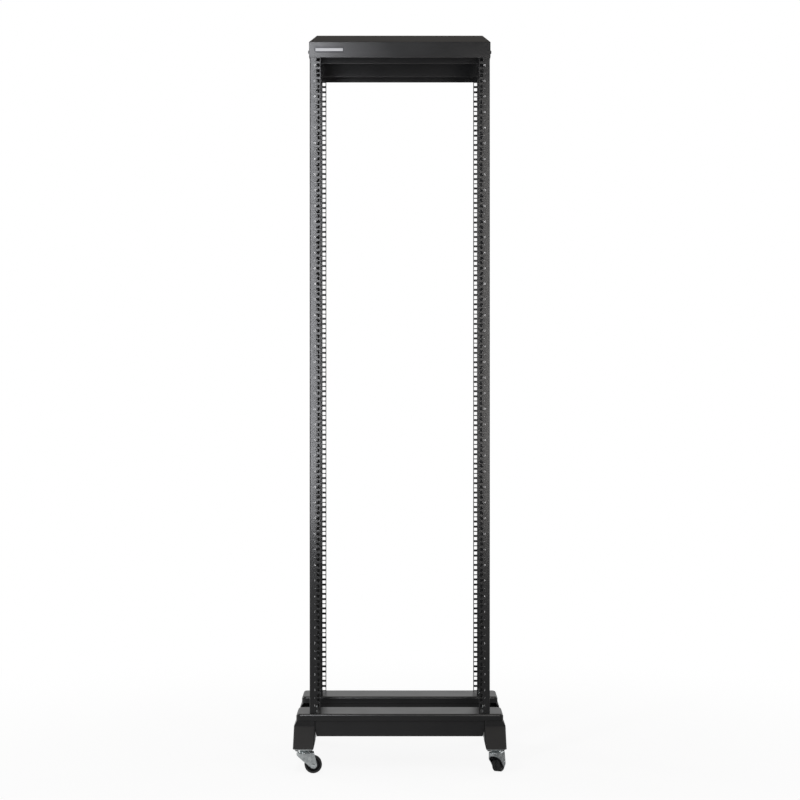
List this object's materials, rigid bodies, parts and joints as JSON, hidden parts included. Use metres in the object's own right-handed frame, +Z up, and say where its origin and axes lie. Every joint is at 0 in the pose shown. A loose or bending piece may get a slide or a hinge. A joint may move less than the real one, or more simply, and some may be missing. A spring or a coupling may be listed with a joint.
{
  "type": "four post open frame rack",
  "caption": "Tall black open frame equipment rack on swivel casters, with square-hole rails front and rear and a sheet top cover.",
  "frame": {"origin": "on the floor, under the middle of the rack", "axes": "+Z up, front faces -Y, +X to the right seen from the front"},
  "size_m": [0.602, 0.59, 2.0933],
  "materials": {
    "black_powder_coat": "fine textured satin",
    "zinc_plate": "bright zinc plate",
    "black_tyre": "matt",
    "black_hub": "satin"
  },
  "bodies": {
    "frame": {"post_front_left": "black_powder_coat", "post_front_right": "black_powder_coat", "post_rear_left": "black_powder_coat", "post_rear_right": "black_powder_coat", "base_cap_front": "black_powder_coat", "base_cap_rear": "black_powder_coat", "base_channel_front": "black_powder_coat", "base_channel_rear": "black_powder_coat", "leg_front_left": "black_powder_coat", "leg_front_right": "black_powder_coat", "leg_rear_left": "black_powder_coat", "leg_rear_right": "black_powder_coat", "base_rail_left": "black_powder_coat", "base_rail_right": "black_powder_coat", "top_beam_front": "black_powder_coat", "top_beam_rear": "black_powder_coat", "top_rail_left": "black_powder_coat", "top_rail_right": "black_powder_coat", "top_cover": "black_powder_coat", "caster_plate_front_left": "zinc_plate", "caster_plate_front_right": "zinc_plate", "caster_plate_rear_left": "zinc_plate", "caster_plate_rear_right": "zinc_plate"},
    "swivel_front_left": {"caster_fork_front_left": "zinc_plate", "caster_axle_front_left": "zinc_plate"},
    "wheel_front_left": {"caster_tyre_front_left": "black_tyre", "caster_hub_front_left": "black_hub"},
    "swivel_front_right": {"caster_fork_front_right": "zinc_plate", "caster_axle_front_right": "zinc_plate"},
    "wheel_front_right": {"caster_tyre_front_right": "black_tyre", "caster_hub_front_right": "black_hub"},
    "swivel_rear_left": {"caster_fork_rear_left": "zinc_plate", "caster_axle_rear_left": "zinc_plate"},
    "wheel_rear_left": {"caster_tyre_rear_left": "black_tyre", "caster_hub_rear_left": "black_hub"},
    "swivel_rear_right": {"caster_fork_rear_right": "zinc_plate", "caster_axle_rear_right": "zinc_plate"},
    "wheel_rear_right": {"caster_tyre_rear_right": "black_tyre", "caster_hub_rear_right": "black_hub"}
  },
  "joints": [
    {"name": "swivel_front_left", "type": "hinge", "parent": "frame", "child": "swivel_front_left", "pos_m": [-0.2705, -0.2685, 0.05], "axis": [0, 0, 1], "continuous": true},
    {"name": "roll_front_left", "type": "hinge", "parent": "swivel_front_left", "child": "wheel_front_left", "pos_m": [-0.2446, -0.26623, 0.0245], "axis": [-0.0872, 0.9962, 0], "continuous": true},
    {"name": "swivel_front_right", "type": "hinge", "parent": "frame", "child": "swivel_front_right", "pos_m": [0.2705, -0.2685, 0.05], "axis": [0, 0, 1], "continuous": true},
    {"name": "roll_front_right", "type": "hinge", "parent": "swivel_front_right", "child": "wheel_front_right", "pos_m": [0.28024, -0.24439, 0.0245], "axis": [-0.9272, 0.3746, 0], "continuous": true},
    {"name": "swivel_rear_left", "type": "hinge", "parent": "frame", "child": "swivel_rear_left", "pos_m": [-0.2705, 0.2685, 0.05], "axis": [0, 0, 1], "continuous": true},
    {"name": "roll_rear_left", "type": "hinge", "parent": "swivel_rear_left", "child": "wheel_rear_left", "pos_m": [-0.27502, 0.24289, 0.0245], "axis": [0.9848, -0.1736, 0], "continuous": true},
    {"name": "swivel_rear_right", "type": "hinge", "parent": "frame", "child": "swivel_rear_right", "pos_m": [0.2705, 0.2685, 0.05], "axis": [0, 0, 1], "continuous": true},
    {"name": "roll_rear_right", "type": "hinge", "parent": "swivel_rear_right", "child": "wheel_rear_right", "pos_m": [0.27502, 0.24289, 0.0245], "axis": [0.9848, 0.1736, 0], "continuous": true}
  ]
}
